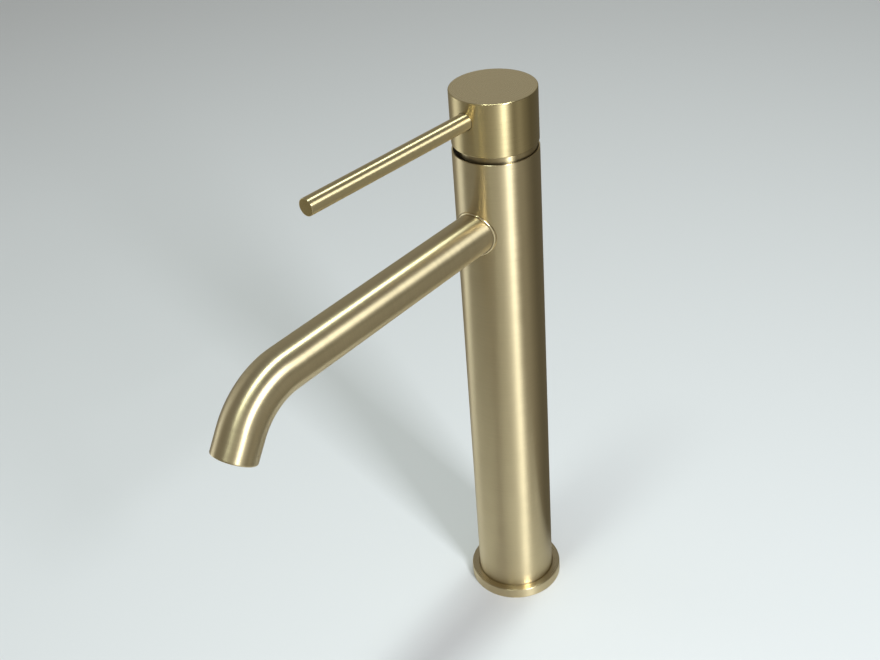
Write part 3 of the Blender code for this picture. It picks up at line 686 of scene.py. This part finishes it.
def block_cutter(name, low, high):
    bm = bmesh.new()
    bmesh.ops.create_cube(bm, size=1.0)
    size = Vector(high) - Vector(low)
    bmesh.ops.scale(bm, vec=size, verts=bm.verts)
    bmesh.ops.translate(bm, vec=Vector(low) + size / 2, verts=bm.verts)
    return mesh_object(name, bm, [])


def add_piece(obj, body, slot, node):
    """Makes the piece ride on its body and stand for the CAD node. The slot is not used."""
    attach(obj, body)
    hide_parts(node)


# ---------------------------------------------------------------- pieces that stand still
def make_column():
    low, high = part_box("column_body")
    radius = high.x
    bore = radius - COLUMN_WALL
    rim = radius - COLUMN_RIM_WALL
    seat = high.z - COLUMN_RIM_DEPTH
    profile = rounded(
        [
            (bore, seat, 0.0),
            (rim, seat, 0.0),
            (rim, high.z, 0.0002),
            (radius, high.z, 0.0003),
            (radius, low.z, 0.0),
            (bore, low.z, 0.0),
        ]
    )
    around_hole = [SPOUT_HEIGHT + offset for offset in (-0.020, -0.013, 0.013, 0.020)]
    profile = with_stations(profile, [0.03, 0.06, 0.10, 0.14, 0.18, *around_hole])
    # The bore and the groove round the ring take near-black painted shade.
    materials = [BRUSHED, SATIN, PAINTED_GROOVE_SHADE]
    column = turned("column_skin", profile, materials)
    line_inside(column, rim + 0.0001, materials.index(PAINTED_GROOVE_SHADE))
    hole = cylinder_cutter("spout_hole", SPOUT_RADIUS + 0.0010, 0.010, 0.030, forward_at(SPOUT_HEIGHT), FINE)
    cut(column, hole)
    true_normals(column, radius)
    add_piece(column, "root", "brushed_gold", "column_body")


def make_flange():
    low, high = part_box("base_flange")
    radius, top = high.x, high.z
    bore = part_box("column_body")[1].x + GAP
    groove_inner, groove_outer, groove_top = bore + 0.0012, bore + 0.0032, 0.0018  # for the gasket
    profile = rounded(
        [
            (bore, top, 0.0003),
            (radius, top, 0.0005),
            (radius, 0.0, 0.0002),
            (groove_outer, 0.0, 0.0),
            (groove_outer, groove_top, 0.0),
            (groove_inner, groove_top, 0.0),
            (groove_inner, 0.0, 0.0),
            (bore, 0.0, 0.0),
        ]
    )
    flange = turned("flange_skin", profile, [BRUSHED, BRUSHED_FOOT])
    add_piece(flange, "root", "brushed_gold", "base_flange")


def make_spout():
    bore = SPOUT_RADIUS - SPOUT_WALL
    profile = rounded(
        [
            (SPOUT_RADIUS, SPOUT_ROOT, 0.0002),
            (SPOUT_RADIUS, SPOUT_LENGTH, 0.0008),
            (bore, SPOUT_LENGTH, 0.0002),
            (bore, SPOUT_ROOT, 0.0),
        ],
        steps=7,
    )
    bend_steps = 28
    bend_length = SPOUT_BEND_RADIUS * SPOUT_BEND_ANGLE
    stations = [SPOUT_STRAIGHT + bend_length * step / bend_steps for step in range(bend_steps + 1)]
    stations += [0.040, 0.070, 0.100, 0.130, SPOUT_STRAIGHT - 0.002]
    spout = turned("spout_skin", with_stations(profile, stations), [BRUSHED, SATIN], spout_place, FINE)
    add_piece(spout, "root", "brushed_gold", "spout_tube")


def make_collar():
    """Thin rounded saddle ring that stands a little proud where the spout enters the column."""
    column_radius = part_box("column_body")[1].x

    def saddle(along, x, y):
        """Along is the height over the column's wall, and x and y are measured from the spout's axis."""
        return Vector((x, -math.sqrt((column_radius + along) ** 2 - x**2), SPOUT_HEIGHT + y))

    inner, outer = SPOUT_RADIUS + 0.0001, SPOUT_RADIUS + 0.0011
    proud, sunk = 0.0009, -0.0021
    profile = rounded(
        [(inner, proud, 0.0002), (outer, proud, 0.0007), (outer, sunk, 0.0), (inner, sunk, 0.0)],
    )
    collar = turned("collar_skin", profile, [POLISHED], saddle, FINE)
    add_piece(collar, "root", "brushed_gold", "spout_collar")


def make_bonnet():
    """Trim ring in the column's mouth: its wall shows in the gap under the cap, below a spherical shoulder.
    The wall stands a little off centre on its foot, which fills the groove in the column's rim."""
    low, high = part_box("bonnet_ring")
    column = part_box("column_body")[1]
    core = high.x
    radius = core + BONNET_THICKER
    wall_top = BONNET_WALL_TOP
    foot = column.x - COLUMN_RIM_WALL - GAP
    seat = column.z - COLUMN_RIM_DEPTH + GAP
    foot_top = seat + 0.0003
    shoulder = math.hypot(radius, wall_top - PIVOT_HEIGHT)
    slices = 8
    heights = [high.z + (wall_top - high.z) * step / slices for step in range(slices)]
    outer = [(math.sqrt(shoulder**2 - (z - PIVOT_HEIGHT) ** 2), z, 0.0) for z in heights]
    corners = [
        (0.0123, high.z, 0.0),
        *outer,
        (radius, wall_top, 0.0),
        (radius, foot_top, 0.0),
        (foot, foot_top, 0.0),
        (foot, seat, 0.0),
        (core, seat, 0.0),
        (core, low.z, 0.0),
        (0.0130, low.z, 0.0),
    ]
    # The ring's wall takes the darker gold: painted shade under the cap's overhang.
    bonnet = turned("bonnet_skin", rounded(corners), [SHADED_BRUSHED_GOLD, PAINTED_GROOVE_SHADE])
    # The ring's flat faces, in the groove and under the cap, take near-black painted shade.
    for vert in bonnet.data.vertices:
        if vert.co.z > foot_top - 1e-5 and vert.co.xy.length < foot - 1e-5:
            vert.co += BONNET_SHIFT
    add_piece(bonnet, "root", "dark_gold", "bonnet_ring")


def mouth_matrix(up):
    """Frame on the spout's last straight, this far up from its mouth, with +Z up the spout."""
    origin = spout_place(SPOUT_LENGTH - up, 0.0, 0.0)
    side = spout_place(SPOUT_LENGTH - up, 0.0, 1.0) - origin
    axis = (spout_place(SPOUT_LENGTH - up - 0.001, 0.0, 0.0) - origin).normalized()
    across = side.cross(axis)
    turn = Matrix((across, side, axis)).transposed().to_4x4()
    return Matrix.Translation(origin) @ turn


def make_aerator():
    """Screwed ring with four key slots, and a honeycomb that straightens the water."""
    outer = SPOUT_RADIUS - SPOUT_WALL - GAP
    lip = AERATOR_BORE - 0.0008
    inner_end = SPOUT_LENGTH - 0.0086
    lip_back = SPOUT_LENGTH - 0.0018
    lip_front = SPOUT_LENGTH - 0.0010
    profile = rounded(
        [
            (AERATOR_BORE, inner_end, 0.0),
            (outer, inner_end, 0.0002),
            (outer, SPOUT_LENGTH - 0.0016, 0.0003),
            (lip, lip_front, 0.0002),
            (lip, lip_back, 0.0),
            (AERATOR_BORE, lip_back, 0.0),
        ]
    )
    # The ring takes the darker gold: painted shade inside the spout's mouth.
    ring = turned("aerator_ring", profile, [SHADED_BRUSHED_GOLD], spout_place, FINE)
    slots = []
    for number in range(4):
        lowest, highest = (outer - 0.0008, -0.0007, 0.0004), (outer + 0.001, 0.0007, 0.0026)
        slot = block_cutter(f"key_slot_{number}", lowest, highest)
        slot.data.transform(mouth_matrix(0.0) @ Matrix.Rotation(math.tau * (number + 0.5) / 4, 4, "Z"))
        slots.append(slot)
    cut(ring, *slots)
    add_piece(ring, "root", "dark_gold", "aerator_housing")

    low, high = 0.0021, 0.0063  # of the honeycomb, up from the mouth
    radius = AERATOR_BORE - GAP
    disc = rounded(
        [
            (0.0, SPOUT_LENGTH - high, 0.0),
            (radius, SPOUT_LENGTH - high, 0.0),
            (radius, SPOUT_LENGTH - low, 0.0002),
            (0.0, SPOUT_LENGTH - low, 0.0),
        ],
        closed=False,
    )
    core = turned("aerator_honeycomb", disc, [CAD_FINISHES["white_plastic"]], spout_place, FINE, closed=False)
    pitch, cell_radius, border = 0.00150, 0.00072, 0.0011
    cells = bmesh.new()
    for row in range(-5, 6):
        for column in range(-6, 7):
            x, y = pitch * (column + 0.5 * (row % 2)), pitch * row * math.sqrt(0.75)
            if math.hypot(x, y) < radius - border:
                bmesh.ops.create_cone(
                    cells,
                    cap_ends=True,
                    segments=6,
                    radius1=cell_radius,
                    radius2=cell_radius,
                    depth=0.006,
                    matrix=mouth_matrix((low + high) / 2) @ Matrix.Translation((x, y, 0.0)),
                )
    cut(core, mesh_object("cells", cells, []))
    add_piece(core, "root", "white_plastic", "aerator_core")


# ---------------------------------------------------------------- pieces under the foot
def thread(name, root, crest, pitch, low, high, place, materials, lead_in=0.0):
    """Screw thread with closed ends. Each row of points climbs a pitch a turn, so the ridges follow edges.
    At an end, lead_in is how much of the crest is taken off."""
    phases = ((0.0, crest), (0.125, crest), (0.4375, root), (0.6875, root))  # parts of a pitch, and radii
    turns = math.ceil((high - low) / pitch) + 3
    bm = bmesh.new()
    rows = []
    for number in range(turns * len(phases)):
        phase, radius = phases[number % len(phases)]
        row = []
        for step in range(SMALL):
            along = low + pitch * (number // len(phases) + phase + step / SMALL - 2)
            inside = max(min(along - low, high - along), 0.0)
            held = min(radius, crest - lead_in + inside)
            angle = math.tau * step / SMALL
            row.append(bm.verts.new(Vector((held * math.cos(angle), held * math.sin(angle), along))))
        rows.append(row)
    for first in range(len(rows) - len(phases) - 1):
        for step in range(SMALL):
            after = (step + 1) % SMALL
            joined = first if after else first + len(phases)
            ends = (rows[first][step], rows[first + 1][step], rows[joined + 1][after], rows[joined][after])
            bm.faces.new(ends).smooth = True
    for height, side in ((low, -1.0), (high, 1.0)):
        everything = bm.verts[:] + bm.edges[:] + bm.faces[:]
        bmesh.ops.bisect_plane(
            bm, geom=everything, plane_co=(0.0, 0.0, height), plane_no=(0.0, 0.0, side), clear_outer=True
        )
    bmesh.ops.holes_fill(bm, edges=[edge for edge in bm.edges if edge.is_boundary], sides=0)
    for vert in bm.verts:
        vert.co = place(vert.co.z, vert.co.x, vert.co.y)
    bmesh.ops.recalc_face_normals(bm, faces=bm.faces)
    return mesh_object(name, bm, materials)


def upright_at(x_axis, y_axis):
    """Centreline up an axis beside the column's."""

    def place(along, x, y):
        return Vector((x_axis + x, y_axis + y, along))

    return place


AT_STUD = upright_at(0.0, STUD_Y)


def soften(obj, width):
    """Rounds the sharp edges of a cut piece."""
    bevel = obj.modifiers.new("soft_edges", "BEVEL")
    bevel.width = width
    bevel.segments = 3
    bevel.limit_method = "ANGLE"
    bevel.angle_limit = SHARP
    apply_modifiers(obj)
    # These pieces aren't brushed, and after the bevel this layer isn't the same each run.
    obj.data.uv_layers.remove(obj.data.uv_layers["brush"])


def make_plug():
    """The foot's plug. Each port is one stepped hole, from the pipe's seat down to its threaded socket."""
    low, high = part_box("base_plug")
    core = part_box("bonnet_ring")[1].x
    foot = high.x
    profile = rounded(
        [
            (0.0, high.z, 0.0),
            (core, high.z, 0.0005),
            (core, PLUG_LIP, 0.0),
            (foot, PLUG_LIP, 0.0002),
            (foot, low.z, 0.0003),
            (0.0, low.z, 0.0),
        ],
        closed=False,
    )
    plug = turned("plug_skin", profile, [CAD_FINISHES["raw_brass"]], closed=False)
    below, above = -0.002, high.z + 0.002
    seat = high.z - 0.0080
    groove = high.z - 0.0025
    ring_radius = PIPE_RADIUS + 0.0019
    pipe_radius = PIPE_RADIUS + GAP
    socket_radius = INLET_RADIUS - 0.0001  # inside the thread, so that the two cutters' walls never coincide
    for side, x in (("hot", -PORT_X), ("cold", PORT_X)):
        at_port = upright_at(x, PORT_Y)
        steps = [
            (0.0, above, 0.0),
            (ring_radius, above, 0.0),
            (ring_radius, groove, 0.0),
            (pipe_radius, groove, 0.0),
            (pipe_radius, seat, 0.0),
            (PORT_RADIUS, seat, 0.0),
            (PORT_RADIUS, INLET_DEPTH, 0.0),
            (socket_radius, INLET_DEPTH, 0.0),
            (socket_radius, below, 0.0),
            (0.0, below, 0.0),
        ]
        waterway = turned(side + "_waterway", steps, [], at_port, SMALL, closed=False)
        cut(plug, waterway)
        socket = thread(
            side + "_socket",
            INLET_RADIUS,
            INLET_RADIUS + THREAD_RELIEF,
            INLET_PITCH,
            below + 0.0007,
            INLET_DEPTH - 0.0006,
            at_port,
            [],
        )
        cut(plug, socket)
    stud_radii = (STUD_RADIUS, STUD_RADIUS + THREAD_RELIEF)
    cut(plug, thread("stud_socket", *stud_radii, STUD_PITCH, below, STUD_SOCKET_DEPTH, AT_STUD, []))
    for face in plug.data.polygons:
        face.use_smooth = abs(face.normal.z) < 0.999
    add_piece(plug, "root", "raw_brass", "base_plug")


def make_clamp():
    """Threaded stud, rubber and steel horseshoe washers, and the long nut."""
    low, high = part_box("mounting_stud")
    steel, brass, rubber = (CAD_FINISHES[slot] for slot in ("steel", "raw_brass", "black_rubber"))
    radii = (STUD_RADIUS - 0.00068, STUD_RADIUS)
    stud = thread("threaded_stud", *radii, STUD_PITCH, low.z, high.z, AT_STUD, [steel], lead_in=0.0008)
    add_piece(stud, "root", "steel", "mounting_stud")
    for node, material, slot, softness in (
        ("rubber_horseshoe", rubber, "black_rubber", 0.0007),
        ("clamp_horseshoe", steel, "steel", 0.0004),
    ):
        low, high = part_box(node)
        profile = [(0.0, high.z, 0.0), (high.x, high.z, 0.0), (high.x, low.z, 0.0), (0.0, low.z, 0.0)]
        washer = turned(node + "_skin", profile, [material], closed=False)
        mouth = block_cutter("mouth", (-0.0135, -0.0035, low.z - PAST), (0.0135, 0.03, high.z + PAST))
        clear = cylinder_cutter("stud_clear", STUD_RADIUS + 0.0004, low.z - PAST, high.z + PAST, AT_STUD)
        cut(washer, mouth, clear)
        soften(washer, softness)
        add_piece(washer, "root", slot, node)
    low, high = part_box("mounting_nut")
    corner = (high.x - low.x) / 2
    outline = [(0.0, high.z, 0.0), (corner, high.z, 0.0), (corner, low.z, 0.0), (0.0, low.z, 0.0)]
    hexagon = turned("nut_skin", outline, [brass], AT_STUD, 6, closed=False)
    face, drop = corner * 0.88, 0.0007
    chamfers = [
        (0.0, high.z, 0.0),
        (face, high.z, 0.0),
        (corner, high.z - drop, 0.0),
        (corner, low.z + drop, 0.0),
        (face, low.z, 0.0),
        (0.0, low.z, 0.0),
    ]
    blank = turned("nut_chamfers", chamfers, [brass], AT_STUD, FINE, closed=False)
    cut(hexagon, blank, operation="INTERSECT")
    cut(hexagon, cylinder_cutter("nut_bore", STUD_RADIUS + GAP, low.z - PAST, high.z + PAST, AT_STUD))
    soften(hexagon, 0.0002)
    add_piece(hexagon, "root", "raw_brass", "mounting_nut")


# ---------------------------------------------------------------- pieces that move with the handle
def settle_handle(obj):
    """Turns a finished handle mesh from its own frame to its place at rest."""
    obj.data.transform(Matrix.Rotation(HANDLE_TURN_AT_REST, 4, "Z"))


def make_cap():
    low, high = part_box("handle_cap")
    bore = CAP_RADIUS - CAP_SKIRT
    profile = rounded(
        [
            (0.0, high.z, 0.0),
            (CAP_RADIUS, high.z, 0.0004),
            (CAP_RADIUS, low.z, 0.0004),
            (bore, low.z, 0.0002),
            (bore, CAP_CEILING, 0.0),
            (0.0, CAP_CEILING, 0.0),
        ],
        closed=False,
    )
    around_hole = [LEVER_HEIGHT + offset for offset in (-0.0055, 0.0055)]
    profile = with_stations(profile, around_hole)
    cap = turned("cap_skin", profile, [BRUSHED_CAP, SATIN], closed=False, lean=CAP_LEAN)
    half = SPINDLE_HALF_WIDTH + GAP
    socket = block_cutter("socket", (-half, -half, CAP_CEILING - 0.001), (half, half, SPINDLE_TOP + GAP))
    at_lever = forward_at(LEVER_HEIGHT)
    wide = cylinder_cutter("lever_hole", LEVER_RADIUS + GAP, LEVER_SHOULDER - GAP, 0.025, at_lever)
    narrow = cylinder_cutter("stud_hole", LEVER_STUD_RADIUS + GAP, 0.0020, LEVER_SHOULDER, at_lever)
    cut(cap, socket, wide, narrow)
    true_normals(cap, CAP_RADIUS)
    settle_handle(cap)
    add_piece(cap, "handle", "brushed_gold", "handle_cap")


def make_lever():
    """The rod with its plain screwed end, which is hidden in the cap."""
    profile = rounded(
        [
            (0.0, LEVER_REACH, 0.0),
            (LEVER_RADIUS, LEVER_REACH, 0.0003),
            (LEVER_RADIUS, LEVER_SHOULDER, 0.0002),
            (LEVER_STUD_RADIUS, LEVER_SHOULDER, 0.0),
            (LEVER_STUD_RADIUS, LEVER_STUD_END, 0.0),
            (0.0, LEVER_STUD_END, 0.0),
        ],
        closed=False,
    )
    at_lever = forward_at(LEVER_HEIGHT)
    # The rod's flat end takes the darker copy of the gold: painted shade.
    lever = turned("lever_skin", profile, [BRUSHED_LEVER, LEVER_TIP_SHADE], at_lever, FINE, closed=False)
    settle_handle(lever)
    add_piece(lever, "handle", "brushed_gold", "lever_rod")


make_camera()
make_lights()
make_world()
make_floor()
bpy.context.scene.view_settings.view_transform = "Standard"
finish_cad_nodes()
make_column()
make_flange()
make_spout()
make_collar()
make_bonnet()
make_aerator()
make_plug()
make_clamp()
make_cap()
make_lever()
